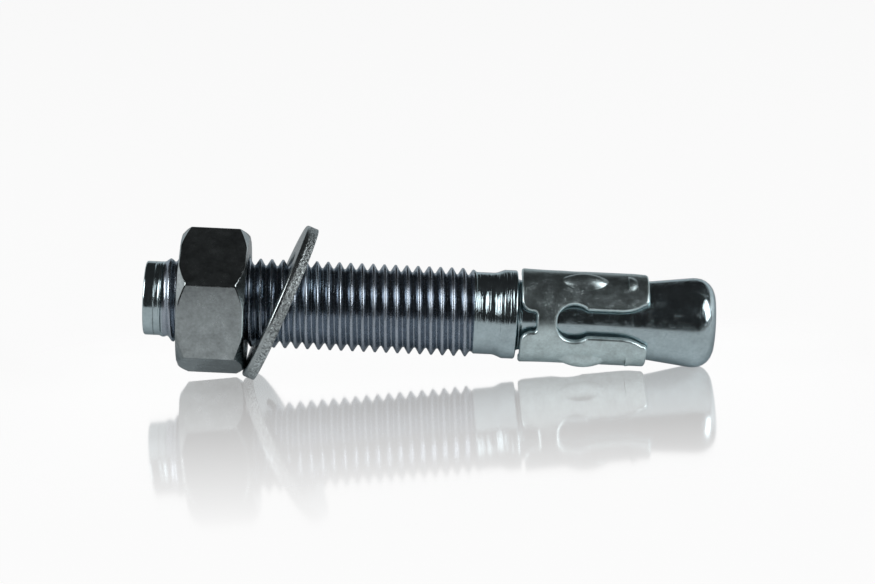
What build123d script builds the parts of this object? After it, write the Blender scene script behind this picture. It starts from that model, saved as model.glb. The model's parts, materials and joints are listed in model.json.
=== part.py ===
from build123d import *
import os
from math import asin, cos, radians, sin, tan

# Wedge anchor, metric 20 mm, lying at rest on a flat surface (z = 0), sizes in millimetres.
# The stud lies along +X from its dog point to its cone. Its cone touches the surface at one end,
# and the edge of the leaning washer at the other, so its axis slopes a few degrees down to the cone.
# Stations are measured along the stud's axis from its dog-point end face.

# Stud
dog_d = 16.4
dog_length = 3.4
dog_chamfer = 0.4
thread_d = 19.7
run_in_length = 4.0
thread_end = 72.6
run_out_length = 1.0
shank_d = 18.2
flare_start = 77.6
flare_length = 1.9
collar_d = 19.7
collar_length = 2.9
collar_chamfer = 0.4
neck_d = 15.5
cone_d = 19.9
cone_half_angle = 7.05
cone_land = 0.8
cone_nose_r = 4.2

# Expansion clip: a rolled sheet with three leaves that ride up the cone
clip_od = 20.5
clip_sheet = 1.45
clip_length = 28.1
leaf_count = 3
slot_turn = 5.4
clip_travel = 0.7
collar_gap = 0.1
leaf_gap = 0.1
notch_depth = 3.5
notch_width = 4.8
notch_corner_r = 2.6
notch_root_r = 0.8
web_length = 4.4
keyhole_r = 3.9
keyhole_spread = 1.0
throat_width = 6.4
shoulder_r = 1.2
throat_length = 6.1
mouth_width = 9.4
leaf_corner_r = 1.3
seam_width = 0.8
lens_station = 13.9
lens_length = 10.2
lens_height = 1.3
lens_shoulder = 0.64
lens_barrel_r = 3.1
stop_inset = 2.5
stop_height = 0.55
stop_length = 2.1

# Hexagon nut
nut_station = 7.8
nut_height = 14.9
nut_across_flats = 29.5
nut_turned = 25.4
nut_face_d = 27.8
nut_chamfer_angle = 35.0
nut_bore_gap = 0.1
nut_countersink = 0.85

# Flat washer, leaning on the stud and on the nut
washer_od = 36.4
washer_thickness = 2.8
washer_lean = 21.5
washer_play = 0.1
washer_rise = 0.3
washer_nut_gap = 0.1
washer_chamfer = 0.3

# Radii and stations that follow from the sizes above
dog_r, thread_r, shank_r = dog_d / 2, thread_d / 2, shank_d / 2
collar_r, neck_r, cone_r = collar_d / 2, neck_d / 2, cone_d / 2
clip_r = clip_od / 2
clip_bore_r = clip_r - clip_sheet
collar_start = flare_start + flare_length
collar_end = collar_start + collar_length
clip_start = collar_end + collar_gap + clip_travel
clip_end = clip_start + clip_length
cone_rise = tan(radians(cone_half_angle))
cone_start = clip_end - (clip_bore_r - leaf_gap - neck_r) / cone_rise
cone_end = cone_start + (cone_r - neck_r) / cone_rise
nose_start = cone_end + cone_land
stud_length = nose_start + cone_nose_r

nut_end = nut_station + nut_height
nut_bore_r = thread_r + nut_bore_gap
nut_face_r = nut_face_d / 2

# The washer stands on the surface, so the leaning hole clears the thread closely at its lower edge
# and by twice the rise more at its upper one
lean = radians(washer_lean)
washer_r = washer_od / 2
washer_hole_r = (
    thread_r + washer_play + washer_rise + washer_thickness / 2 * sin(lean)
) / cos(lean)
washer_station = (
    nut_end
    + washer_nut_gap
    + (nut_face_r + washer_rise) * tan(lean)
    + washer_thickness / 2 / cos(lean)
)


def washer_drop(tilt):
    """Height of the stud's axis at the washer over the washer's lowest edge, sloping by tilt radians."""
    steep = lean + tilt
    centre = washer_r * cos(steep) + (washer_thickness / 2 - washer_chamfer) * sin(steep)
    return centre - washer_rise * cos(tilt)


def cone_drop(tilt):
    """Height of the stud's axis over the lowest point of the cone's rounded nose."""
    return (cone_r - cone_nose_r) * cos(tilt) + cone_nose_r


def rest_tilt():
    """Slope of the stud, in radians, at which washer and cone touch the same surface."""
    tilt = 0.0
    for _ in range(30):
        tilt = asin((washer_drop(tilt) - cone_drop(tilt)) / (nose_start - washer_station))
    return tilt


tilt = rest_tilt()
reach = nose_start * cos(tilt) + (cone_r - cone_nose_r) * sin(tilt) + cone_nose_r
dog_height = washer_drop(tilt) + washer_station * sin(tilt)

along = Vector(cos(tilt), 0, -sin(tilt))
up = Vector(sin(tilt), 0, cos(tilt))
near = Vector(0, -1, 0)
dog_centre = Vector((dog_r * sin(tilt) - reach) / 2, 0, dog_height)
stud_axis = Axis(dog_centre, along)


def outward(turn):
    """Direction across the stud at an angle in degrees, 0 towards the near side and 90 upwards."""
    return near * cos(radians(turn)) + up * sin(radians(turn))


def station(distance, radius=0.0, turn=90.0):
    """Point at a distance along the stud and a radius from its axis."""
    return dog_centre + along * distance + outward(turn) * radius


def lengthwise(turn):
    """Plane through the axis, x along the stud and y outwards at the angle."""
    return Plane(dog_centre, x_dir=along, z_dir=along.cross(outward(turn)))


def facing(turn):
    """Plane through the axis that looks outwards at the angle, x along the stud."""
    return Plane(dog_centre, x_dir=along, z_dir=outward(turn))


def across(distance, turn=0.0):
    """Plane across the stud at a station, x outwards at the angle and z along the stud."""
    return Plane(station(distance), x_dir=outward(turn), z_dir=along)


# Stud: one turned and rolled bar, drawn as the outline of its upper half
with BuildPart() as cone_stud:
    with BuildSketch(lengthwise(90)):
        with BuildLine():
            Polyline(
                (0, 0),
                (0, dog_r),
                (dog_length, dog_r),
                (dog_length + run_in_length, thread_r),
                (thread_end, thread_r),
                (thread_end + run_out_length, shank_r),
                (flare_start, shank_r),
                (collar_start, collar_r),
                (collar_end, collar_r),
                (collar_end, neck_r),
                (cone_start, neck_r),
                (cone_end, cone_r),
                (stud_length, cone_r),
                (stud_length, 0),
                close=True,
            )
        make_face()
    revolve(axis=stud_axis)
    rims = cone_stud.edges().filter_by(GeomType.CIRCLE).group_by(stud_axis)
    fillet(rims[-1], cone_nose_r)
    chamfer(rims[0], dog_chamfer)
    collar_rims = cone_stud.edges().filter_by(GeomType.CIRCLE).filter_by_position(
        stud_axis, collar_end - 0.01, collar_end + 0.01
    )
    chamfer(collar_rims.sort_by(SortBy.RADIUS)[-1], collar_chamfer)
cone_stud.part.label = "cone_stud"

# Expansion clip: a sheet rolled round the neck, pressed outwards and then pierced
slot_turns = [slot_turn + 360 / leaf_count * i for i in range(leaf_count)]
leaf_turns = [turn + 180 / leaf_count for turn in slot_turns]
keyhole_station = clip_start + notch_depth + web_length + keyhole_r
lens_middle = clip_start + lens_station
stop_start = clip_end - stop_inset - stop_length
seam_turn = slot_turns[1]
stop_dome_r = (stop_length**2 + stop_height**2) / (2 * stop_height)


def lens_barrel(turn):
    """Barrel of two tapers to each side that bulges out through the leaf whose middle is at turn."""
    axis_height = clip_r + lens_height - lens_barrel_r
    half, shoulder, flat = lens_length / 2, lens_length / 3, lens_length / 6
    with BuildSketch(lengthwise(turn)) as outline:
        with BuildLine():
            Polyline(
                (lens_middle - half, axis_height),
                (lens_middle - half, clip_r),
                (lens_middle - shoulder, clip_r + lens_height * lens_shoulder),
                (lens_middle - flat, clip_r + lens_height),
                (lens_middle + flat, clip_r + lens_height),
                (lens_middle + shoulder, clip_r + lens_height * lens_shoulder),
                (lens_middle + half, clip_r),
                (lens_middle + half, axis_height),
                close=True,
            )
        make_face()
    revolve(outline.sketch, axis=Axis(station(0, axis_height, turn), along))


def lens_hollow(turn):
    """Hollow that the pressing leaves on the inner side of the lens: a bar with pointed ends."""
    hollow_r = lens_barrel_r - clip_sheet
    axis_height = clip_r + lens_height - lens_barrel_r
    flat, half = lens_length / 4, lens_length / 2 + hollow_r / 2
    with BuildSketch(lengthwise(turn)) as outline:
        with BuildLine():
            Polyline(
                (lens_middle - half, axis_height),
                (lens_middle - flat, axis_height + hollow_r),
                (lens_middle + flat, axis_height + hollow_r),
                (lens_middle + half, axis_height),
                close=True,
            )
        make_face()
    revolve(outline.sketch, axis=Axis(station(0, axis_height, turn), along), mode=Mode.SUBTRACT)


def stop_dome(turn):
    """Half dome near the leaf's end, with its straight side towards the collar."""
    centre = station(stop_start, clip_r + stop_height - stop_dome_r, turn)
    with Locations(Plane(centre, x_dir=along.cross(outward(turn)), z_dir=outward(turn))):
        Sphere(stop_dome_r, arc_size3=180, align=(Align.CENTER, Align.MIN, Align.CENTER))


def pierce_slot(turn):
    """Keyhole slot between two leaves: a round eye, a throat and a mouth that opens to the cone."""
    leaf_start = clip_end - leaf_corner_r
    mouth = mouth_width / 2
    throat = throat_width / 2
    flare_from = keyhole_station + keyhole_r + throat_length
    with BuildSketch(facing(turn)) as slot:
        with BuildLine():
            Polyline((keyhole_station, -throat), (keyhole_station, throat), (flare_from, throat))
            TangentArc((flare_from, throat), (leaf_start, mouth), tangent=(1, 0))
            RadiusArc((leaf_start, mouth), (clip_end, mouth + leaf_corner_r), leaf_corner_r)
            Polyline(
                (clip_end, mouth + leaf_corner_r),
                (clip_end + 1, mouth + leaf_corner_r),
                (clip_end + 1, -mouth - leaf_corner_r),
                (clip_end, -mouth - leaf_corner_r),
            )
            RadiusArc((clip_end, -mouth - leaf_corner_r), (leaf_start, -mouth), leaf_corner_r)
            TangentArc((flare_from, -throat), (leaf_start, -mouth), tangent=(1, 0))
            Line((flare_from, -throat), (keyhole_station, -throat))
        make_face()
        with Locations((keyhole_station, 0)):
            SlotCenterToCenter(keyhole_spread, 2 * keyhole_r, rotation=90)
        shoulders = slot.vertices().filter_by_position(
            stud_axis, keyhole_station + 0.1, keyhole_station + keyhole_r - 0.1
        )
        fillet(shoulders, shoulder_r)
    extrude(slot.sketch, amount=clip_r + lens_height + 1, mode=Mode.SUBTRACT)


def pierce_notch(turn):
    """Notch in the collar end of the clip, with the leaves' corners rounded off beside it."""
    half = notch_width / 2
    wide = half + notch_corner_r
    notch_end = clip_start + notch_depth
    with BuildSketch(facing(turn)) as notch:
        with BuildLine():
            RadiusArc((clip_start, wide), (clip_start + notch_corner_r, half), -notch_corner_r)
            Polyline(
                (clip_start + notch_corner_r, half),
                (notch_end, half),
                (notch_end, -half),
                (clip_start + notch_corner_r, -half),
            )
            RadiusArc((clip_start + notch_corner_r, -half), (clip_start, -wide), -notch_corner_r)
            Polyline(
                (clip_start, -wide),
                (clip_start - 1, -wide),
                (clip_start - 1, wide),
                (clip_start, wide),
            )
        make_face()
        fillet(notch.vertices().group_by(stud_axis)[-1], notch_root_r)
    extrude(notch.sketch, amount=clip_r + 1, mode=Mode.SUBTRACT)


with BuildPart() as expansion_clip:
    with BuildSketch(across(clip_start)):
        Circle(clip_r)
    extrude(amount=clip_length)
    for turn in leaf_turns:
        lens_barrel(turn)
        stop_dome(turn)
    with BuildSketch(across(clip_start - 1)):
        Circle(clip_bore_r)
    extrude(amount=clip_length + 2, mode=Mode.SUBTRACT)
    for turn in leaf_turns:
        lens_hollow(turn)
    for turn in slot_turns:
        pierce_slot(turn)
        pierce_notch(turn)
    with BuildSketch(facing(seam_turn)):
        with Locations((clip_start + clip_length / 2, 0)):
            Rectangle(clip_length + 2, seam_width)
    extrude(amount=clip_r + 1, mode=Mode.SUBTRACT)
expansion_clip.part.label = "expansion_clip"

# Hexagon nut: hexagonal bar with both ends turned down to a cone, and a countersunk bore
nut_tip_r = nut_across_flats / 2 / cos(radians(30)) + 1
chamfer_run = (nut_tip_r - nut_face_r) * tan(radians(nut_chamfer_angle))

with BuildPart() as hex_nut:
    with BuildSketch(across(nut_station, nut_turned)):
        RegularPolygon(nut_across_flats / 2, 6, major_radius=False)
    extrude(amount=nut_height)
    with BuildSketch(lengthwise(90)):
        with BuildLine():
            Polyline(
                (nut_station, 0),
                (nut_station, nut_face_r),
                (nut_station + chamfer_run, nut_tip_r),
                (nut_end - chamfer_run, nut_tip_r),
                (nut_end, nut_face_r),
                (nut_end, 0),
                close=True,
            )
        make_face()
    revolve(axis=stud_axis, mode=Mode.INTERSECT)
    with BuildSketch(across(nut_station)):
        Circle(nut_bore_r)
    extrude(amount=nut_height, mode=Mode.SUBTRACT)
    bore_rims = hex_nut.edges().filter_by(GeomType.CIRCLE).filter_by(
        lambda edge: abs(edge.radius - nut_bore_r) < 0.01
    )
    chamfer(bore_rims, nut_countersink)
hex_nut.part.label = "hex_nut"

# Flat washer: it leans towards the cone, square to a line through the stud's axis
washer_axis = Vector(cos(lean + tilt), 0, -sin(lean + tilt))
washer_centre = station(washer_station, washer_rise)
washer_plane = Plane(washer_centre, x_dir=(0, 1, 0), z_dir=washer_axis)

with BuildPart() as flat_washer:
    with BuildSketch(washer_plane.offset(-washer_thickness / 2)):
        Circle(washer_r)
        Circle(washer_hole_r, mode=Mode.SUBTRACT)
    extrude(amount=washer_thickness)
    outer_rims = flat_washer.edges().filter_by(GeomType.CIRCLE).filter_by(
        lambda edge: abs(edge.radius - washer_r) < 0.01
    )
    chamfer(outer_rims, washer_chamfer)
flat_washer.part.label = "flat_washer"

os.makedirs("parts", exist_ok=True)
for piece in (cone_stud, expansion_clip, flat_washer, hex_nut):
    export_step(piece.part, f"parts/{piece.part.label}.step")
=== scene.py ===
"""The looks of the wedge anchor: thread, leaning washer, hexagon nut, expansion clip and cone."""
import json
import logging
import math
from dataclasses import dataclass, field

import bmesh
import bpy
import numpy as np
from bpy.types import ID, Material, Mesh, Node, NodeSocket, NodeTree, Object
from mathutils import Matrix, Vector
from mathutils.geometry import delaunay_2d_cdt


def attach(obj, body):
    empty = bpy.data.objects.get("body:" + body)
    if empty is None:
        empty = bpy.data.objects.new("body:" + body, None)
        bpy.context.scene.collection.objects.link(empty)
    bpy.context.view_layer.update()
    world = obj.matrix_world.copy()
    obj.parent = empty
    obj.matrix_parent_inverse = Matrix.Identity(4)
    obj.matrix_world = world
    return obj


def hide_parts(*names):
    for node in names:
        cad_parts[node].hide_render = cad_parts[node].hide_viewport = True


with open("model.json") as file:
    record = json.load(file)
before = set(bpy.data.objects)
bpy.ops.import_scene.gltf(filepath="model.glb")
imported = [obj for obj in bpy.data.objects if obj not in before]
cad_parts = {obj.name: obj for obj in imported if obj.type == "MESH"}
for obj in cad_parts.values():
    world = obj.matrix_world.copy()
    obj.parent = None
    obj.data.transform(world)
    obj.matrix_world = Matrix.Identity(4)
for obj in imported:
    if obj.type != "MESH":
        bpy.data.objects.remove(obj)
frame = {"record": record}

log = logging.getLogger("wedge_anchor")
MM = 0.001
MICRON = 0.000001
Pair = tuple[float, float]
Points = list[Pair]
Colour = tuple[float, float, float]


# --- Frames ---


@dataclass(frozen=True)
class Axle:
    """A straight axis in the shared frame: x runs along it, z is its upper side, y stays level."""

    origin: Vector
    along: Vector

    def matrix(self) -> Matrix:
        """Matrix from the axis's own coordinates, in metres, to the shared frame."""
        up = Vector((-self.along.z, 0.0, self.along.x))
        turn = Matrix((self.along, Vector((0, 1, 0)), up)).transposed()
        return Matrix.Translation(self.origin) @ turn.to_4x4()

    def point(self, distance: float) -> Vector:
        """Point on the axis at a distance in millimetres."""
        return self.origin + self.along * distance * MM


def stud_axle(record: dict) -> Axle:
    """The stud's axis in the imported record, with x running from its dog point to its cone."""
    mount = next(m for m in record["mounts"] if m["name"] == "dog_face")
    return Axle(Vector(mount["pos_m"]), -Vector(mount["axis"]).normalized())


# --- Outlines and meshes ---


def rounded(corners: list[tuple[float, ...]], steps: int = 4, support: float = 0.05) -> Points:
    """Replaces the corners of an open outline by arcs.

    Args:
        corners: Points (x, y) or (x, y, corner radius), in millimetres.
        steps: Facets in an arc.
        support: Distance of the extra points that keep the straight stretches flat.

    Returns:
        The points of the rounded outline.
    """
    points: Points = []
    for i, corner in enumerate(corners):
        here = np.array(corner[:2], float)
        radius = corner[2] if len(corner) > 2 else 0.0
        if radius <= 0 or i in (0, len(corners) - 1):
            points.append(tuple(here))
            continue
        back = np.array(corners[i - 1][:2], float) - here
        ahead = np.array(corners[i + 1][:2], float) - here
        reach_back, reach_ahead = np.linalg.norm(back), np.linalg.norm(ahead)
        back, ahead = back / reach_back, ahead / reach_ahead
        half = math.acos(float(np.clip(back @ ahead, -1, 1))) / 2
        cut = radius / math.tan(half)
        middle = here + (back + ahead) / np.linalg.norm(back + ahead) * radius / math.sin(half)
        start, end = here + back * cut - middle, here + ahead * cut - middle
        sweep = math.pi - 2 * half
        side = math.copysign(1, start[0] * end[1] - start[1] * end[0])
        if reach_back > cut + 3 * support:
            points.append(tuple(here + back * (cut + support)))
        for k in range(steps + 1):
            a = side * sweep * k / steps
            c, s = math.cos(a), math.sin(a)
            x, y = start[0] * c - start[1] * s, start[0] * s + start[1] * c
            points.append((middle[0] + x, middle[1] + y))
        if reach_ahead > cut + 3 * support:
            points.append(tuple(here + ahead * (cut + support)))
    return points


@dataclass
class Shell:
    """A surface being put together from rings of points, in millimetres."""

    verts: list[tuple[float, float, float]] = field(default_factory=list)
    faces: list[tuple[int, ...]] = field(default_factory=list)

    def add_grid(self, grid: np.ndarray) -> "Shell":
        """Adds a grid of points, shaped (rows, columns, 3), whose columns close on themselves.

        Args:
            grid: The points, in millimetres.

        Returns:
            The shell itself.
        """
        rows, columns, _ = grid.shape
        base = len(self.verts)
        self.verts.extend(map(tuple, grid.reshape(-1, 3)))
        for row in range(rows - 1):
            here = base + row * columns
            there = here + columns
            for c in range(columns):
                d = (c + 1) % columns
                self.faces.append((here + c, here + d, there + d, there + c))
        return self

    def mesh(self, name: str, weld: float = 1e-4, smooth_angle: float = 35.0) -> Mesh:
        """Welds the points and makes the mesh, still in millimetres.

        Args:
            name: Name of the mesh.
            weld: Distance under which points are merged.
            smooth_angle: Edges that turn more than this, in degrees, stay sharp.

        Returns:
            The mesh, with its faces outward.
        """
        mesh = bpy.data.meshes.new(name)
        mesh.from_pydata(self.verts, [], self.faces)
        join(mesh, weld)
        smooth(mesh, smooth_angle)
        return mesh


def join(mesh: Mesh, gap: float, *others: Mesh) -> None:
    """Adds other meshes to a mesh, merges its close points and turns its faces outward.

    Args:
        mesh: The mesh that is changed, in millimetres.
        gap: Distance under which points are merged.
        *others: Meshes to add.
    """
    shape = bmesh.new()
    for part in (mesh, *others):
        shape.from_mesh(part)
    bmesh.ops.remove_doubles(shape, verts=shape.verts, dist=gap)
    bmesh.ops.dissolve_degenerate(shape, edges=shape.edges, dist=gap)
    bmesh.ops.recalc_face_normals(shape, faces=shape.faces)
    shape.to_mesh(mesh)
    shape.free()


def smooth(mesh: Mesh, angle: float) -> None:
    """Shades a mesh smooth, with sharp edges where it turns more than the angle in degrees."""
    mesh.polygons.foreach_set("use_smooth", np.ones(len(mesh.polygons), bool))
    mesh.set_sharp_from_angle(angle=math.radians(angle))


def lathe(outline: Points, columns: int = 192) -> np.ndarray:
    """Turns an outline round the x axis.

    Args:
        outline: Points (station, radius), in millimetres.
        columns: Points round the axis.

    Returns:
        A grid shaped (points, columns, 3).
    """
    profile = np.array(outline, float)
    turn = np.arange(columns) * 2 * math.pi / columns
    grid = np.empty((len(profile), columns, 3))
    grid[..., 0] = profile[:, :1]
    grid[..., 1] = -profile[:, 1:] * np.cos(turn)
    grid[..., 2] = profile[:, 1:] * np.sin(turn)
    return grid


def add(name: str, data: ID) -> Object:
    """Makes an object of a mesh, a lamp or a camera, and adds it to the scene."""
    made = bpy.data.objects.new(name, data)
    bpy.context.scene.collection.objects.link(made)
    return made


def place(name: str, mesh: Mesh, axle: Axle, finish: Material) -> Object:
    """Makes a piece at the origin of the shared frame, from a mesh in millimetres on an axle.

    Args:
        name: Name of the piece.
        mesh: The mesh, in the axle's own coordinates.
        axle: The axle.
        finish: The piece's only material.

    Returns:
        The piece.
    """
    mesh.transform(axle.matrix() @ Matrix.Scale(MM, 4))
    mesh.materials.clear()
    mesh.materials.append(finish)
    return add(name, mesh)


# --- Shader nodes ---


class Graph:
    """A node tree that is written with Python expressions."""

    def __init__(self, tree: NodeTree) -> None:
        """Empties the tree."""
        self.tree = tree
        tree.nodes.clear()

    def node(self, kind: str, settings: dict | None = None, **sockets: object) -> "Value":
        """Adds a node.

        Args:
            kind: Type of the node.
            settings: Attributes that are set first.
            **sockets: Values or links, by socket name with underscores for spaces, or i0, i1 by
                place.

        Returns:
            The node's first output.
        """
        made = self.tree.nodes.new(kind)
        for key, value in (settings or {}).items():
            setattr(made, key, value)
        for key, value in sockets.items():
            by_place = key[0] == "i" and key[1:].isdigit()
            socket = made.inputs[int(key[1:])] if by_place else made.inputs[key.replace("_", " ")]
            self.feed(socket, value)
        return Value(self, made, 0)

    def blend(self, share: object, first: object, second: object) -> "Value":
        """A colour between first, at a share of 0, and second, at 1."""
        colours = self.node("ShaderNodeMix", {"data_type": "RGBA"}, i0=share, i6=first, i7=second)
        return Value(self, colours.made, 2)

    def feed(self, socket: NodeSocket, value: object) -> None:
        """Links or sets one input socket."""
        if isinstance(value, Value):
            self.tree.links.new(value.socket, socket)
        else:
            socket.default_value = value


@dataclass(frozen=True)
class Value:
    """An output socket whose operators add Math nodes."""

    graph: Graph
    made: Node
    index: int = 0

    @property
    def socket(self) -> NodeSocket:
        """The output socket itself."""
        return self.made.outputs[self.index]

    def out(self, name: str) -> "Value":
        """Another output of the same node, by its name."""
        return Value(self.graph, self.made, self.made.outputs.find(name))

    def math(self, operation: str, *operands: object) -> "Value":
        """Adds a Math node for the operands, or for self alone without any."""
        terms = {f"i{place}": term for place, term in enumerate(operands or (self,))}
        return self.graph.node("ShaderNodeMath", {"operation": operation}, **terms)

    def __add__(self, other: object) -> "Value":
        """self + other."""
        return self.math("ADD", self, other)

    __radd__ = __add__

    def __sub__(self, other: object) -> "Value":
        """self - other."""
        return self.math("SUBTRACT", self, other)

    def __rsub__(self, other: object) -> "Value":
        """other - self."""
        return self.math("SUBTRACT", other, self)

    def __mul__(self, other: object) -> "Value":
        """self * other."""
        return self.math("MULTIPLY", self, other)

    __rmul__ = __mul__

    def __truediv__(self, other: object) -> "Value":
        """self / other."""
        return self.math("DIVIDE", self, other)

    def clamp(self, low: object, high: object) -> "Value":
        """Zero below low, one above high and a straight ramp between."""
        return self.graph.node("ShaderNodeMapRange", Value=self, From_Min=low, From_Max=high)

    def most(self, other: object) -> "Value":
        """The larger of self and other."""
        return self.math("MAXIMUM", self, other)

    def least(self, other: object) -> "Value":
        """The smaller of self and other."""
        return self.math("MINIMUM", self, other)

    def root(self) -> "Value":
        """The square root."""
        return self.math("POWER", self, 0.5)


@dataclass(frozen=True)
class Grain:
    """A noise: its scale per metre, its levels of detail and how strong the finer ones are."""

    scale: float
    detail: float
    roughness: float = 0.5

    def at(self, g: Graph, where: Value) -> Value:
        """The noise, between 0 and 1, at the coordinates."""
        settings = {"Scale": self.scale, "Detail": self.detail, "Roughness": self.roughness}
        return g.node("ShaderNodeTexNoise", Vector=where, **settings)


CLOUD = Grain(330.0, 4.0, 0.65)
FINE = Grain(1600.0, 3.0, 0.6)
SPECKS = Grain(3800.0, 2.0, 0.7)
TORN = Grain(2100.0, 2.0, 0.7)
LINES = Grain(1.0, 1.0)


@dataclass(frozen=True)
class Band:
    """A stretch of an axis, in millimetres from its origin, with soft ends."""

    start: float
    end: float
    soft: float = 0.5

    def mask(self, station: Value) -> Value:
        """One inside the stretch and zero outside."""
        begun = station.clamp(self.start - self.soft, self.start)
        return begun * (1.0 - station.clamp(self.end, self.end + self.soft))


@dataclass(frozen=True)
class EndCones:
    """The two cones turned on the ends of a nut, in millimetres from its axle's origin."""

    start: float
    end: float
    face_r: float
    angle: float
    outset: float = 0.12
    soft: float = 0.18

    def mask(self, station: Value, radius: Value) -> Value:
        """One on the cones and zero on the flats between them."""
        rise = 1.0 / math.tan(math.radians(self.angle))
        first = radius - (station - self.start) * rise
        last = radius - (station * -1.0 + self.end) * rise
        high = self.face_r - self.outset
        low = high - self.soft
        return first.clamp(low, high) + last.clamp(low, high)


@dataclass
class Coat:
    """A finish being mixed: where a point lies, and its tone, roughness and height so far.

    The station is the distance along the axis in millimetres, reach is the square of the
    distance from it, and the height is in micrometres.
    """

    g: Graph
    local: Value
    station: Value
    reach: Value
    cloud: Value
    tone: Value
    rough: Value
    height: Value

    def past(self, radius: float, soft: float) -> Value:
        """Zero inside a radius less its soft edge, and one outside the radius."""
        return self.reach.clamp((radius - soft) ** 2, radius**2)


@dataclass(frozen=True)
class ZincFinish:
    """Bright zinc plating on steel, a bluish metal with soft mottling.

    Radii are in millimetres and depths in micrometres. A pair of a scuff or a torn grain says
    where its noise begins to show and where it shows in full.
    """

    tint: Colour = (0.42, 0.515, 0.55)
    edge_tint: Colour = (0.5, 0.54, 0.56)
    roughness: float = 0.17
    cloudiness: float = 0.2
    mottle: float = 0.3
    pitting: float = 2.0
    rolled: Band | None = None
    # Darker, bluer tint over the rolled thread: painted shade of its grooves.
    rolled_tint: Colour = (0.35, 0.40, 0.46)
    rolled_dulling: float = 0.1
    marks: tuple[Band, ...] = ()
    marks_depth: float = 300.0
    marks_along: tuple[Pair, ...] = ((5200.0, 0.45), (1500.0, 1.0))
    marks_round: float = 45.0
    scuffed: Band | None = None
    scuff_depth: float = 30.0
    scuff_size: Pair = (0.57, 0.74)
    scuff_patches: Pair = (0.4, 0.6)
    sheared_radius: float = 0.0
    sheared_soft: float = 0.2
    sheared_dulling: float = 0.2
    # How much the sheared edges are paled: a painted highlight.
    sheared_paling: float = 0.5
    cones: EndCones | None = None
    cones_polish: float = 0.13
    # How much the nut's end cones are darkened: painted shade.
    cones_darkening: float = 0.1
    torn: Band | None = None
    torn_radius: float = 0.0
    torn_soft: float = 0.3
    torn_depth: float = 350.0
    torn_dulling: float = 0.1
    torn_grain: Pair = (0.38, 0.62)
    torn_contrast: float = 1.1
    torn_darkening: float = 0.5

    def roll(self, coat: Coat) -> None:
        """Dulls the rolled thread."""
        if self.rolled:
            coat.rough = coat.rough + self.rolled.mask(coat.station) * self.rolled_dulling

    def turn(self, coat: Coat) -> None:
        """Cuts the marks that a turning tool leaves."""
        if not self.marks:
            return
        lines, share = 0.0, 0.0
        for along, weight in self.marks_along:
            scale = (along, self.marks_round, self.marks_round)
            stretched = coat.g.node("ShaderNodeMapping", Vector=coat.local, Scale=scale)
            lines = lines + LINES.at(coat.g, stretched) * weight
        for band in self.marks:
            share = share + band.mask(coat.station)
        coat.height = coat.height + lines * share * self.marks_depth

    def scuff(self, coat: Coat) -> None:
        """Pits the surface in patches, with small dents from handling."""
        if self.scuffed:
            specks = SPECKS.at(coat.g, coat.local).clamp(*self.scuff_size)
            patches = coat.cloud.clamp(*self.scuff_patches) * self.scuffed.mask(coat.station)
            coat.height = coat.height - specks * patches * self.scuff_depth

    def shear(self, coat: Coat) -> None:
        """Dulls the sheared edges, which lie inside a radius, and pales them with a painted
        highlight.
        """
        if self.sheared_radius:
            sheared = 1.0 - coat.past(self.sheared_radius, self.sheared_soft)
            coat.rough = coat.rough + sheared * self.sheared_dulling
            coat.tone = coat.tone + sheared * self.sheared_paling

    def turn_ends(self, coat: Coat) -> None:
        """Polishes the cones on a nut's ends and darkens them with painted shade."""
        if self.cones:
            turned_off = self.cones.mask(coat.station, coat.reach.root())
            coat.rough = coat.rough - turned_off * self.cones_polish
            coat.tone = coat.tone * (1.0 - turned_off * self.cones_darkening)

    def tear(self, coat: Coat) -> None:
        """Roughens the torn part of a rim."""
        if self.torn:
            torn = coat.past(self.torn_radius, self.torn_soft) * self.torn.mask(coat.station)
            grains = TORN.at(coat.g, coat.local)
            coat.height = coat.height + torn * grains * self.torn_depth
            coat.rough = coat.rough + torn * self.torn_dulling
            shade = grains.clamp(*self.torn_grain) * self.torn_contrast - self.torn_darkening
            coat.tone = coat.tone * (torn * shade + 1.0)

    def coat(self, g: Graph, axle: Axle) -> Coat:
        """Starts the coat with its mottling.

        Args:
            g: The material's graph.
            axle: The axis of the piece.

        Returns:
            The coat, before any working of the surface.
        """
        turned = axle.matrix().inverted()
        local = g.node(
            "ShaderNodeMapping",
            {"vector_type": "POINT"},
            Vector=g.node("ShaderNodeTexCoord").out("Object"),
            Location=tuple(turned.to_translation()),
            Rotation=tuple(turned.to_euler()),
        )
        split = g.node("ShaderNodeSeparateXYZ", Vector=local)
        y, z = split.out("Y") / MM, split.out("Z") / MM
        cloud, fine = CLOUD.at(g, local), FINE.at(g, local)
        return Coat(
            g,
            local,
            station=split / MM,
            reach=y * y + z * z,
            cloud=cloud,
            tone=(cloud - 0.5) * (self.mottle * 2.0) + (fine - 0.5) * self.mottle + 1.0,
            rough=(cloud - 0.5) * self.cloudiness + self.roughness,
            height=(fine + cloud) * self.pitting,
        )

    def material(self, name: str, axle: Axle) -> Material:
        """Builds the material.

        Args:
            name: Name of the material.
            axle: The axis of the piece.

        Returns:
            The material.
        """
        made = bpy.data.materials.new(name)
        made.use_nodes = True
        g = Graph(made.node_tree)
        coat = self.coat(g, axle)
        for work in (self.roll, self.turn, self.scuff, self.shear, self.turn_ends, self.tear):
            work(coat)
        base = self.tint
        # Over the rolled thread the tint turns darker and bluer, painted shade of the grooves.
        if self.rolled:
            share = self.rolled.mask(coat.station)
            base = g.blend(share, (*self.tint, 1.0), (*self.rolled_tint, 1.0))
        scaled = {"operation": "SCALE"}
        surface = g.node(
            "ShaderNodeBsdfPrincipled",
            Base_Color=g.node("ShaderNodeVectorMath", scaled, Vector=base, Scale=coat.tone),
            Metallic=1.0,
            Specular_Tint=(*self.edge_tint, 1.0),
            Roughness=coat.rough,
            Normal=g.node("ShaderNodeBump", Strength=1.0, Distance=MICRON, Height=coat.height),
        )
        g.node("ShaderNodeOutputMaterial", Surface=surface)
        return made


# --- Thread ---


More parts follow.
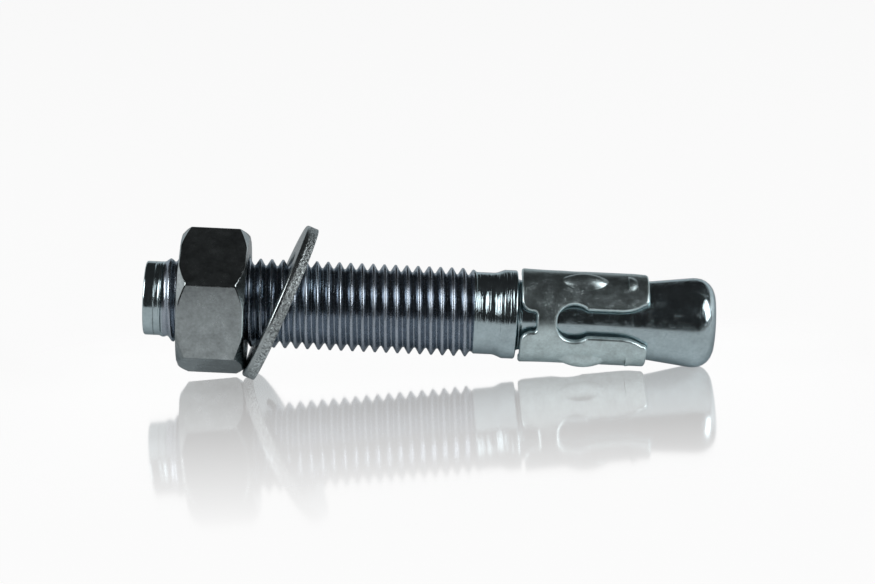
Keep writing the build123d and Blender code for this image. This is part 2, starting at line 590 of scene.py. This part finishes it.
@dataclass
class Thread:
    """A helical thread as a tube of faces, rolled with a flat root and a narrow flat crest."""

    crest_radius: float
    root_radius: float
    start: float
    end: float
    start_radius: float
    end_radius: float
    run_in: float
    run_out: float
    phase: float
    pitch: float = 2.5
    rows: int = 12
    columns: int = 160
    root_flat: float = 0.12
    crest_flat: float = 0.14
    weld: float = 0.002
    inward: bool = False

    def sizes(self) -> dict[str, float]:
        """The inputs of the node tree, by their names; whole numbers are counts."""
        fields = {name: size for name, size in vars(self).items() if name != "inward"}
        fields["turns"] = math.ceil((self.end - self.start) / self.pitch) + 2
        return {name.replace("_", " ").title(): size for name, size in fields.items()}

    def tree(self, material: Material) -> tuple[NodeTree, dict[str, str]]:
        """Builds the node tree that makes the tube.

        Args:
            material: Material for the tube.

        Returns:
            The tree, and each input's socket identifier by its name.
        """
        tree = bpy.data.node_groups.new("helical_thread", "GeometryNodeTree")
        tree.interface.new_socket("Geometry", in_out="OUTPUT", socket_type="NodeSocketGeometry")
        names = {}
        for name, size in self.sizes().items():
            kind = "NodeSocketInt" if isinstance(size, int) else "NodeSocketFloat"
            item = tree.interface.new_socket(name, in_out="INPUT", socket_type=kind)
            names[name] = item.identifier
        g = Graph(tree)
        value = g.node("NodeGroupInput").out
        along = value("Columns") * value("Turns")
        counts = {"Vertices_X": along + 1.0, "Vertices_Y": value("Rows") + 1.0}
        grid = g.node("GeometryNodeMeshGrid", Size_X=1.0, Size_Y=1.0, **counts)
        split = g.node("ShaderNodeSeparateXYZ", i0=g.node("GeometryNodeInputPosition"))
        step = ((split.out("X") + 0.5) * along).math("ROUND")
        turn = step / value("Columns")
        row = ((split.out("Y") + 0.5) * value("Rows")).math("ROUND") / value("Rows")
        start, end, pitch, phase = value("Start"), value("End"), value("Pitch"), value("Phase")
        raw = start + (row - turn - 1.0 + value("Turns") - phase) * pitch
        station = raw.most(start).least(end)
        saw = ((raw - start) / pitch + turn + phase).math("FRACT")
        wave = 1.0 - (saw * 2.0 - 1.0).math("ABSOLUTE")
        ridge = wave.clamp(value("Root Flat"), 1.0 - value("Crest Flat"))
        into = station.clamp(start, start + value("Run In"))
        out = (end - station).clamp(0.0, value("Run Out"))
        first, last = value("Start Radius"), value("End Radius")
        low = first + (value("Root Radius") - first) * into
        high = first + (value("Crest Radius") - first) * into
        low = last + (low - last) * out
        high = last + (high - last) * out
        radius = low + (high - low) * ridge
        angle = turn * (2 * math.pi)
        y, z = radius * angle.math("COSINE") * -1.0, radius * angle.math("SINE")
        coiled = g.node("ShaderNodeCombineXYZ", X=station, Y=y, Z=z)
        tube = g.node("GeometryNodeSetPosition", Geometry=grid, Position=coiled)
        tube = g.node("GeometryNodeMergeByDistance", Geometry=tube, Distance=value("Weld"))
        if not self.inward:
            tube = g.node("GeometryNodeFlipFaces", Mesh=tube)
        tube = g.node("GeometryNodeRealizeInstances", Geometry=tube)
        tube = g.node("GeometryNodeSetMaterial", Geometry=tube, Material=material)
        g.node("NodeGroupOutput", Geometry=tube)
        return tree, names

    def mesh(self, name: str, material: Material) -> Mesh:
        """Makes the tube as a plain mesh in millimetres.

        Args:
            name: Name of the mesh.
            material: Material for the tube.

        Returns:
            The mesh.
        """
        carrier = add(name + "_maker", bpy.data.meshes.new(name + "_maker"))
        tree, names = self.tree(material)
        nodes = carrier.modifiers.new("thread", "NODES")
        nodes.node_group = tree
        for title, size in self.sizes().items():
            nodes[names[title]] = size
        bpy.context.view_layer.update()
        evaluated = carrier.evaluated_get(bpy.context.evaluated_depsgraph_get())
        made = bpy.data.meshes.new_from_object(evaluated)
        made.name = name
        bpy.data.objects.remove(carrier)
        return made


# --- Pieces ---


@dataclass
class Stud:
    """The turned and rolled bar: dog point, thread, shank, collar, neck and cone."""

    axle: Axle
    columns: int = 160
    dog_r: float = 8.2
    dog_edge_r: float = 0.45
    dog_length: float = 3.4
    thread_crest_r: float = 9.85
    thread_root_r: float = 8.35
    thread_end: float = 73.6
    thread_run_in: float = 4.0
    thread_run_out: float = 1.6
    thread_phase: float = 0.5
    shank_r: float = 9.1
    flare_start: float = 77.6
    flare_start_r: float = 3.0
    flare_end: float = 79.5
    flare_end_r: float = 0.8
    collar_r: float = 9.85
    collar_end: float = 82.4
    collar_edge_r: float = 0.5
    neck_r: float = 7.75
    neck_foot_r: float = 0.8
    cone_start: float = 103.6183
    cone_start_r: float = 2.0
    cone_end: float = 121.4075
    cone_end_r: float = 3.0
    cone_r: float = 9.95
    land: float = 0.8
    nose_r: float = 4.2
    seam: float = 0.01

    def build(self, finish: Material) -> Object:
        """Builds the closed stud.

        Args:
            finish: Its material.

        Returns:
            The stud, riding on its body and standing for the CAD node.
        """
        dog = rounded(
            [(0.0, 0.0), (0.0, self.dog_r, self.dog_edge_r), (self.dog_length, self.dog_r)]
        )
        nose = self.cone_end + self.land + self.nose_r
        tail = rounded(
            [
                (self.thread_end, self.shank_r),
                (self.flare_start, self.shank_r, self.flare_start_r),
                (self.flare_end, self.collar_r, self.flare_end_r),
                (self.collar_end, self.collar_r, self.collar_edge_r),
                (self.collar_end, self.neck_r, self.neck_foot_r),
                (self.cone_start, self.neck_r, self.cone_start_r),
                (self.cone_end, self.cone_r, self.cone_end_r),
                (nose, self.cone_r, self.nose_r),
                (nose, 0.0),
            ],
            steps=6,
        )
        ends = Shell().add_grid(lathe(dog, self.columns)).add_grid(lathe(tail, self.columns))
        made = ends.mesh("stud_ends")
        thread = Thread(
            crest_radius=self.thread_crest_r,
            root_radius=self.thread_root_r,
            start=self.dog_length,
            end=self.thread_end,
            start_radius=self.dog_r,
            end_radius=self.shank_r,
            run_in=self.thread_run_in,
            run_out=self.thread_run_out,
            phase=self.thread_phase,
            columns=self.columns,
        )
        join(made, self.seam, thread.mesh("stud_thread", finish))
        smooth(made, angle=50.0)
        piece = place("stud", made, self.axle, finish)
        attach(piece, "stud")
        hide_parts("cone_stud")
        return piece


@dataclass
class Nut:
    """The hexagon nut, with both ends turned to a cone and a threaded bore."""

    axle: Axle
    station: float = 7.8
    height: float = 14.9
    across_flats: float = 29.5
    turned: float = 25.4
    corner_r: float = 0.8
    face_r: float = 14.6
    chamfer_angle: float = 41.5
    bevel: float = 0.45
    edge_r: float = 0.5
    rim_r: float = 0.25
    bore_r: float = 9.98
    bore_edge_r: float = 0.15
    countersink: float = 0.85
    thread_crest_r: float = 8.75
    thread_root_r: float = 9.93
    thread_end_r: float = 9.97
    thread_inset: float = 0.3
    thread_run: float = 1.0
    thread_phase: float = 0.5

    def reach(self, angle: float) -> float:
        """Distance from the axis to the rounded hexagon at an angle in degrees from a corner."""
        off = math.radians(abs(angle % 60.0 - 30.0))
        flat, corner = self.across_flats / 2, math.radians(30)
        if math.tan(off) <= math.tan(corner) * (1.0 - self.corner_r / flat):
            return flat / math.cos(off)
        centre = (flat - self.corner_r) / math.cos(corner)
        tilt = corner - off
        aside = centre * math.sin(tilt)
        return centre * math.cos(tilt) + math.sqrt(self.corner_r**2 - aside**2)

    def columns(self) -> list[float]:
        """Angles of the columns, closer together at the corners."""
        steps = (*np.arange(-2.8, 2.81, 0.4), *np.arange(4.0, 56.1, 2.0))
        return sorted(round((corner * 60.0 + a) % 360.0, 3) for corner in range(6) for a in steps)

    def grid(self) -> np.ndarray:
        """Points of the nut's body in millimetres, shaped (rows, columns, 3)."""
        slope = math.tan(math.radians(self.chamfer_angle))
        a, b = self.station, self.station + self.height
        lines = []
        for angle in self.columns():
            far = self.reach(angle)
            face_r = min(self.face_r, far - self.bevel)
            run = (far - face_r) * slope
            outline = rounded(
                [
                    (a + self.countersink, self.bore_r),
                    (a, self.bore_r + self.countersink, self.bore_edge_r),
                    (a, face_r, self.rim_r),
                    (a + run, far, self.edge_r),
                    (b - run, far, self.edge_r),
                    (b, face_r, self.rim_r),
                    (b, self.bore_r + self.countersink, self.bore_edge_r),
                    (b - self.countersink, self.bore_r),
                    (a + self.countersink, self.bore_r),
                ]
            )
            turn = math.radians(angle + self.turned)
            lines.append([(x, -r * math.cos(turn), r * math.sin(turn)) for x, r in outline])
        return np.array(lines).transpose(1, 0, 2)

    def build(self, finish: Material) -> list[Object]:
        """Builds the nut and its thread.

        Args:
            finish: Their material.

        Returns:
            The nut's body and its thread.
        """
        shell = Shell().add_grid(self.grid())
        nut = place("nut", shell.mesh("nut_body", smooth_angle=40.0), self.axle, finish)
        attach(nut, "nut")
        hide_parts("hex_nut")
        thread = Thread(
            crest_radius=self.thread_crest_r,
            root_radius=self.thread_root_r,
            start=self.station + self.thread_inset,
            end=self.station + self.height - self.thread_inset,
            start_radius=self.thread_end_r,
            end_radius=self.thread_end_r,
            run_in=self.thread_run,
            run_out=self.thread_run,
            phase=self.thread_phase,
            columns=96,
            inward=True,
        )
        ridges = place("nut_thread", thread.mesh("nut_thread", finish), self.axle, finish)
        smooth(ridges.data, angle=50.0)
        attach(ridges, "nut")
        return [nut, ridges]


@dataclass
class Washer:
    """The flat washer, stamped from plate, leaning on the stud."""

    stud: Axle
    station: float = 29.89823
    lean: float = 21.5
    outer_r: float = 18.2
    hole_r: float = 11.568
    rise: float = 0.3
    thickness: float = 2.8
    die_roll: float = 0.55
    hole_roll: float = 0.33
    burr_r: float = 0.18

    def axle(self) -> Axle:
        """The washer's own axis, through its centre."""
        slope = math.radians(self.lean)
        turned = Matrix.Rotation(slope, 3, "Y") @ self.stud.along
        lift = self.stud.matrix().to_3x3() @ Vector((0, 0, self.rise * MM))
        return Axle(self.stud.point(self.station) + lift, turned)

    def build(self, finish: Material) -> Object:
        """Builds the washer.

        Args:
            finish: Its material.

        Returns:
            The washer.
        """
        half = self.thickness / 2
        ring = [
            (0.0, self.hole_r),
            (-half, self.hole_r, self.hole_roll),
            (-half, self.outer_r, self.die_roll),
            (half, self.outer_r, self.burr_r),
            (half, self.hole_r, self.burr_r),
            (0.0, self.hole_r),
        ]
        shell = Shell().add_grid(lathe(rounded(ring, steps=5)))
        made = shell.mesh("washer", smooth_angle=40.0)
        piece = place("washer", made, self.axle(), finish)
        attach(piece, "washer")
        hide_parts("flat_washer")
        return piece


def arc(centre: Pair, radius: float, start: float, end: float, step: float = 0.3) -> Points:
    """Points on an arc.

    Args:
        centre: Its centre.
        radius: Its radius.
        start: First angle in degrees.
        end: Last angle in degrees.
        step: Longest distance between points.

    Returns:
        The points, ends included.
    """
    sweep = math.radians(end - start)
    count = max(2, math.ceil(abs(sweep) * radius / step))
    angles = [math.radians(start) + sweep * k / count for k in range(count + 1)]
    return [(centre[0] + radius * math.cos(a), centre[1] + radius * math.sin(a)) for a in angles]


@dataclass
class Clip:
    """The expansion clip: a sheet with three leaves, pierced, pressed outwards and rolled.

    Its flat outline has x along the stud and y round it, at the outer radius.
    """

    axle: Axle
    start: float
    length: float = 28.1
    outer_r: float = 10.25
    sheet: float = 1.45
    slot_turn: float = 5.4
    leaves: int = 3
    notch_depth: float = 3.5
    notch_width: float = 4.8
    notch_corner_r: float = 2.6
    notch_root_r: float = 0.8
    web: float = 4.4
    eye_r: float = 3.9
    eye_spread: float = 1.0
    shoulder_r: float = 1.2
    throat_width: float = 6.4
    throat_length: float = 6.1
    mouth_width: float = 9.4
    leaf_corner_r: float = 1.3
    seam_width: float = 0.8
    lens_station: float = 13.9
    lens_length: float = 10.2
    lens_height: float = 1.3
    lens_r: float = 3.1
    lens_zone: Pair = (5.5, 3.4)
    stop_station: float = 23.5
    stop_height: float = 0.55
    stop_length: float = 2.1
    stop_middle: float = 24.5
    stop_zone: Pair = (1.9, 3.6)
    press_soft: float = 0.1
    outer_edge_r: float = 0.55
    outer_steps: int = 4
    outer_grid: Pair = (0.35, 0.17)
    inner_edge_r: float = 0.12
    inner_steps: int = 2
    inner_grid: Pair = (0.8, 0.5)
    corner_step: float = 0.2
    spring: float = 0.17
    spring_length: float = 7.0

    @property
    def end(self) -> float:
        """Station of the leaves' ends."""
        return self.start + self.length

    @property
    def pitch(self) -> float:
        """Length round the sheet from one leaf to the next."""
        return 2 * math.pi * self.outer_r / self.leaves

    def half_notch(self) -> Points:
        """Half of a notch, from its middle out to the collar end, as it is seen square on."""
        half, root, corner = self.notch_width / 2, self.notch_root_r, self.notch_corner_r
        bottom = self.start + self.notch_depth
        return (
            [(bottom, self.seam_width / 2)]
            + arc((bottom - root, half - root), root, 0.0, 90.0, self.corner_step)
            + arc((self.start + corner, half + corner), corner, 270.0, 180.0)
        )

    def half_slot(self) -> Points:
        """Half of a keyhole slot, from the eye's far side to the mouth, as it is seen square on."""
        eye = self.start + self.notch_depth + self.web + self.eye_r
        rise, throat, soft = self.eye_spread / 2, self.throat_width / 2, self.shoulder_r
        span = self.eye_r + soft
        lift = throat + soft - rise
        reach = math.sqrt(span**2 - lift**2)
        meet = math.degrees(math.atan2(lift, reach))
        flare = eye + self.eye_r + self.throat_length
        leaf_start = self.end - self.leaf_corner_r
        gain = self.mouth_width / 2 - throat
        bend_r = ((leaf_start - flare) ** 2 + gain**2) / (2 * gain)
        slope = math.degrees(math.asin((leaf_start - flare) / bend_r))
        corner = (leaf_start, self.mouth_width / 2 + self.leaf_corner_r)
        return (
            [(eye - self.eye_r, self.seam_width / 2)]
            + arc((eye, rise), self.eye_r, 180.0, meet)
            + arc((eye + reach, throat + soft), soft, meet - 180.0, -90.0, self.corner_step)
            + arc((flare, throat + bend_r), bend_r, -90.0, slope - 90.0)
            + arc(corner, self.leaf_corner_r, slope - 90.0, 0.0, self.corner_step)
        )

    def unrolled(self, seen: Points) -> Points:
        """Points on the flat sheet, from points as they are seen square on."""
        return [(x, self.outer_r * math.asin(y / self.outer_r)) for x, y in seen]

    def outline(self, step: float = 0.35) -> np.ndarray:
        """The closed outline of the flat sheet, clockwise, from the seam round all the leaves.

        Args:
            step: Longest distance between points.

        Returns:
            Points shaped (n, 2): along the stud and round the sheet.
        """
        notch, slot = self.unrolled(self.half_notch()), self.unrolled(self.half_slot())
        path: Points = []
        for leaf in range(self.leaves):
            low, high = leaf * self.pitch, (leaf + 1) * self.pitch
            path += [(x, low + y) for x, y in notch]
            path += [(x, high - y) for x, y in reversed(notch)]
        for leaf in reversed(range(self.leaves)):
            low, high = leaf * self.pitch, (leaf + 1) * self.pitch
            path += [(x, high - y) for x, y in slot]
            path += [(x, low + y) for x, y in reversed(slot)]
        dense: Points = []
        for here, there in zip(path, path[1:] + path[:1]):
            parts = math.ceil(math.dist(here, there) / step)
            for k in range(parts):
                dense.append(tuple(np.array(here) + (np.array(there) - np.array(here)) * k / parts))
        return np.array(dense)

    def bulge(self, points: np.ndarray) -> np.ndarray:
        """How far the pressings, and the spring at the collar end, lift the sheet.

        Args:
            points: Points on the flat sheet, shaped (n, 2).

        Returns:
            Heights in millimetres.
        """
        radius = self.outer_r
        angle = ((points[:, 1] / self.pitch) % 1.0 - 0.5) * self.pitch / radius

        def pressed(middle: float, square: np.ndarray, shown: np.ndarray) -> np.ndarray:
            """Height of a round pressing about a middle radius, and -1 beside it."""
            inside = square - (middle * np.sin(angle)) ** 2
            height = middle * np.cos(angle) + np.sqrt(np.maximum(inside, 0.0)) - radius
            return np.where((inside > 0) & shown, height, -1.0)

        along = points[:, 0] - (self.start + self.lens_station)
        across = self.lens_r - self.lens_height * (2 * along / self.lens_length) ** 2
        lens = pressed(radius + self.lens_height - self.lens_r, across**2, across > 0)
        past = points[:, 0] - (self.start + self.stop_station)
        dome_r = (self.stop_length**2 + self.stop_height**2) / (2 * self.stop_height)
        square = dome_r**2 - np.maximum(past, 0.0) ** 2
        stop = pressed(radius + self.stop_height - dome_r, square, past >= 0)
        soft = self.press_soft
        high = np.maximum(lens, stop)
        near = np.maximum(soft - np.abs(high), 0.0) / soft
        sprung = 1.0 - np.clip((points[:, 0] - self.start) / self.spring_length, 0.0, 1.0)
        return np.maximum(high, 0.0) + near**2 * soft / 4 + sprung**2 * self.spring

    def lattice(self, ring: np.ndarray, step: float, fine: float) -> np.ndarray:
        """Points inside a ring, closer together at the pressings.

        Args:
            ring: The ring, shaped (n, 2).
            step: Distance between points.
            fine: Distance between points at the pressings.

        Returns:
            Points shaped (n, 2).
        """
        found = []
        for gap in (step, fine):
            xs = np.arange(self.start, self.end, gap)
            ys = np.arange(0, self.pitch * self.leaves, gap)
            grid = np.stack(np.meshgrid(xs, ys, indexing="ij"), -1).reshape(-1, 2)
            aside = np.abs(((grid[:, 1] / self.pitch) % 1.0 - 0.5) * self.pitch)
            along = grid[:, 0] - self.start
            pressed = np.zeros(len(grid), bool)
            zones = ((self.lens_station, self.lens_zone), (self.stop_middle, self.stop_zone))
            for middle, (half_length, half_width) in zones:
                pressed |= (np.abs(along - middle) < half_length) & (aside < half_width)
            found.append(grid[pressed] if gap == fine else grid[~pressed])
        points = np.concatenate(found)
        here, there = ring, np.roll(ring, -1, axis=0)
        edge = there - here
        rise = np.where(edge[:, 1] == 0, 1e-9, edge[:, 1])
        keep, block_size, clearance = [], 2000, fine * 0.6
        for block in np.array_split(points, max(1, len(points) // block_size)):
            offset = block[:, None] - here[None]
            share = np.clip((offset * edge).sum(-1) / (edge**2).sum(-1), 0, 1)
            gap = np.linalg.norm(offset - share[..., None] * edge, axis=-1).min(1)
            # A point lies inside the ring where a line to its right crosses it an odd number
            # of times.
            level = block[:, 1:2]
            crossed = (here[:, 1] > level) != (there[:, 1] > level)
            crossing = here[:, 0] + (level - here[:, 1]) / rise * edge[:, 0]
            inside = (crossed & (block[:, :1] < crossing)).sum(1) % 2 == 1
            keep.append(block[inside & (gap > clearance)])
        return np.concatenate(keep)

    def roll(self, points: np.ndarray, height: np.ndarray | float) -> np.ndarray:
        """Rolls flat points round the stud.

        Args:
            points: Points on the flat sheet, shaped (n, 2).
            height: Their distance from the stud's axis.

        Returns:
            Points shaped (n, 3).
        """
        seam = self.slot_turn + 360.0 / self.leaves
        turn = math.radians(seam) + points[:, 1] / self.outer_r
        return np.stack([points[:, 0], -height * np.cos(turn), height * np.sin(turn)], -1)

    def face(self, shell: Shell, ring: np.ndarray, base: float, step: float, fine: float) -> None:
        """Adds one side of the sheet.

        Args:
            shell: Where it goes.
            ring: Its border on the flat sheet.
            base: Its distance from the stud's axis.
            step: Distance between points.
            fine: Distance between points at the pressings.
        """
        points = np.concatenate([ring, self.lattice(ring, step, fine)])
        border = [(k, (k + 1) % len(ring)) for k in range(len(ring))]
        flat, _, faces, _, _, _ = delaunay_2d_cdt([Vector(p) for p in points], border, [], 1, 1e-5)
        flat = np.array([tuple(p) for p in flat])
        first = len(shell.verts)
        shell.verts.extend(map(tuple, self.roll(flat, base + self.bulge(flat))))
        shell.faces.extend(tuple(first + i for i in face) for face in faces)

    def build(self, finish: Material) -> Object:
        """Builds the clip.

        Args:
            finish: Its material.

        Returns:
            The clip.
        """
        edge = self.outline()
        ahead, back = np.roll(edge, -1, axis=0), np.roll(edge, 1, axis=0)
        first, second = edge - back, ahead - edge
        tangent = first / np.linalg.norm(first, axis=1)[:, None]
        tangent += second / np.linalg.norm(second, axis=1)[:, None]
        tangent /= np.linalg.norm(tangent, axis=1)[:, None]
        inward = np.stack([tangent[:, 1], -tangent[:, 0]], -1)
        bore_r = self.outer_r - self.sheet
        rings = []
        for k in range(self.outer_steps + 1):
            a = math.pi / 2 * k / self.outer_steps
            flat = edge + inward * self.outer_edge_r * (1 - math.sin(a))
            sunk = self.outer_edge_r * (1 - math.cos(a))
            rings.append(self.roll(flat, self.outer_r + self.bulge(flat) - sunk))
        for k in range(self.inner_steps + 1):
            a = math.pi / 2 * k / self.inner_steps
            flat = edge + inward * self.inner_edge_r * (1 - math.cos(a))
            raised = self.inner_edge_r * (1 - math.sin(a))
            rings.append(self.roll(flat, bore_r + self.bulge(flat) + raised))
        shell = Shell().add_grid(np.array(rings))
        self.face(shell, edge + inward * self.outer_edge_r, self.outer_r, *self.outer_grid)
        self.face(shell, edge + inward * self.inner_edge_r, bore_r, *self.inner_grid)
        made = shell.mesh("clip", weld=0.001, smooth_angle=50.0)
        piece = place("clip", made, self.axle, finish)
        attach(piece, "clip")
        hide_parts("expansion_clip")
        return piece


# --- Studio ---


@dataclass
class Studio:
    """Camera, floor, soft boxes and surroundings, in metres and degrees.

    A pair says where a soft edge begins and ends.
    """

    target: Vector = field(default_factory=lambda: Vector((0.0019, 0.0, 0.0184)))
    distance: float = 0.622
    elevation: float = 13.5
    roll: float = 1.38
    lens: float = 115.2
    sensor: float = 36.0
    sight: Pair = (0.05, 50.0)
    box_turn: float = 72.0
    box_rise: float = 28.0
    box_distance: float = 1.1
    box_size: Pair = (0.55, 0.7)
    box_power: float = 7.3
    floor_half: float = 3.0
    floor_shade: float = 0.9
    floor_white: float = 0.92
    lit_from: Pair = (-0.079, -0.073)
    lit_glow: float = 0.85
    lit_cover: float = 0.75
    mirror_share: float = 0.62
    mirror_roughness: float = 0.08
    mirror_front: Pair = (-0.115, -0.01)
    mirror_back: Pair = (0.02, 0.045)
    mirror_sides: Pair = (0.072, 0.1)
    mirror_facing: Pair = (0.45, 0.72)
    room_light: float = 0.03
    sheet_light: float = 1.0
    sheet_turn: Pair = (0.0, 0.2)
    sheet_top: Pair = (0.31, 0.45)

    def camera(self) -> None:
        """Places the camera."""
        data = bpy.data.cameras.new("camera")
        data.lens = self.lens
        data.sensor_width = self.sensor
        data.clip_start, data.clip_end = self.sight
        camera = add("camera", data)
        e = math.radians(self.elevation)
        back = Vector((0.0, -math.cos(e), math.sin(e)))
        right, up = Vector((1, 0, 0)), Vector((0, math.sin(e), math.cos(e)))
        upright = Matrix((right, up, back)).transposed()
        rolled = upright @ Matrix.Rotation(-math.radians(self.roll), 3, "Z")
        stand = Matrix.Translation(self.target + back * self.distance)
        camera.matrix_world = stand @ rolled.to_4x4()
        bpy.context.scene.camera = camera

    def soft_box(self, name: str, turn: float) -> None:
        """Adds a soft box that faces the object.

        Args:
            name: Name of the lamp.
            turn: Its bearing in degrees, to the right of the front.
        """
        data = bpy.data.lights.new(name, "AREA")
        data.shape = "RECTANGLE"
        data.size, data.size_y = self.box_size
        data.energy = self.box_power
        lamp = add(name, data)
        bearing, rise = math.radians(turn), math.radians(self.box_rise)
        outward = Vector((math.sin(bearing), -math.cos(bearing), 0.0))
        away = outward * math.cos(rise) + Vector((0.0, 0.0, math.sin(rise)))
        lamp.location = away * self.box_distance
        lamp.rotation_mode = "QUATERNION"
        lamp.rotation_quaternion = (-away).to_track_quat("-Z", "Y")

    def floor(self) -> None:
        """Lays the pale glossy floor, whose front edge the metal shows as a dark line."""
        half = self.floor_half
        mesh = bpy.data.meshes.new("floor")
        corners = ((-half, -half, 0), (half, -half, 0), (half, half, 0), (-half, half, 0))
        mesh.from_pydata(corners, [], [range(4)])
        floor = add("floor", mesh)
        made = bpy.data.materials.new("floor")
        made.use_nodes = True
        g = Graph(made.node_tree)
        split = g.node("ShaderNodeSeparateXYZ", Vector=g.node("ShaderNodeTexCoord").out("Object"))
        side, depth = split, split.out("Y")
        path = g.node("ShaderNodeLightPath")
        seen, mirrored = path.out("Is Camera Ray"), path.out("Is Glossy Ray")
        lit = depth.clamp(*self.lit_from)
        pale = g.node("ShaderNodeBsdfDiffuse", Color=(*(self.floor_shade,) * 3, 1.0))
        glow = seen + mirrored * (lit * self.lit_glow + self.room_light)
        white = g.node("ShaderNodeEmission", Color=(1, 1, 1, 1), Strength=glow)
        share = seen * self.floor_white + mirrored * (1.0 - lit * self.lit_cover)
        plain = g.node("ShaderNodeMixShader", i0=share, i1=pale, i2=white)
        rough = self.mirror_roughness
        mirror = g.node("ShaderNodeBsdfAnisotropic", Color=(1, 1, 1, 1), Roughness=rough)
        close = depth.clamp(*self.mirror_front) * (1.0 - depth.clamp(*self.mirror_back))
        inner, outer = self.mirror_sides
        close = close * (1.0 - (side * side).clamp(inner**2, outer**2))
        low = g.node("ShaderNodeLayerWeight", Blend=0.5).out("Facing").clamp(*self.mirror_facing)
        share = seen * close * low * self.mirror_share
        mixed = g.node("ShaderNodeMixShader", i0=share, i1=plain, i2=mirror)
        g.node("ShaderNodeOutputMaterial", Surface=mixed)
        mesh.materials.append(made)

    def world(self) -> None:
        """Sets the surroundings: a white sheet behind the object and a dim room round it."""
        world = bpy.data.worlds.new("studio")
        bpy.context.scene.world = world
        world.use_nodes = True
        g = Graph(world.node_tree)
        way = g.node("ShaderNodeSeparateXYZ", Vector=g.node("ShaderNodeTexCoord").out("Generated"))
        sheet = way.out("Y").clamp(*self.sheet_turn) * (1.0 - way.out("Z").clamp(*self.sheet_top))
        seen = g.node("ShaderNodeLightPath").out("Is Camera Ray")
        extra = self.sheet_light - self.room_light
        level = (seen + sheet * extra + self.room_light).least(1.0)
        room = g.node("ShaderNodeBackground", Color=(1, 1, 1, 1), Strength=level)
        g.node("ShaderNodeOutputWorld", Surface=room)

    def build(self) -> None:
        """Builds the whole studio."""
        self.camera()
        self.floor()
        self.world()
        self.soft_box("left", -self.box_turn)
        self.soft_box("right", self.box_turn)
        bpy.context.scene.view_settings.view_transform = "Standard"


def main() -> None:
    """Builds the anchor and its studio."""
    logging.basicConfig(level=logging.INFO, format="%(message)s")
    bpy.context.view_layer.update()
    axle = stud_axle(frame["record"])
    washer = Washer(axle)
    bar = ZincFinish(
        pitting=4.0,
        marks=(Band(2.5, 3.8, 0.3), Band(73.0, 83.0)),
        rolled=Band(4.5, 72.5),
        scuffed=Band(86.0, 130.0),
    ).material("stud_zinc", axle)
    sheet = ZincFinish(
        tint=(0.515, 0.615, 0.63),
        roughness=0.33,
        mottle=0.45,
        pitting=7.0,
        sheared_radius=10.1,
        scuffed=Band(80.0, 115.0),
    ).material("clip_zinc", axle)
    nut = Nut(axle)
    forged = ZincFinish(
        tint=(0.33, 0.37, 0.38),
        roughness=0.25,
        mottle=0.6,
        pitting=6.0,
        cones=EndCones(nut.station, nut.station + nut.height, nut.face_r, nut.chamfer_angle),
    ).material("nut_zinc", axle)
    stamped = ZincFinish(
        tint=(0.36, 0.4, 0.41),
        roughness=0.27,
        pitting=8.0,
        torn=Band(-0.3, 1.3),
        torn_radius=washer.outer_r,
    ).material("washer_zinc", washer.axle())
    pieces = [
        Stud(axle).build(bar),
        Clip(axle, start=83.2).build(sheet),
        washer.build(stamped),
        *nut.build(forged),
    ]
    for piece in pieces:
        log.info("%s: %d faces", piece.name, len(piece.data.polygons))
    Studio().build()


if __name__ == "__main__":
    main()
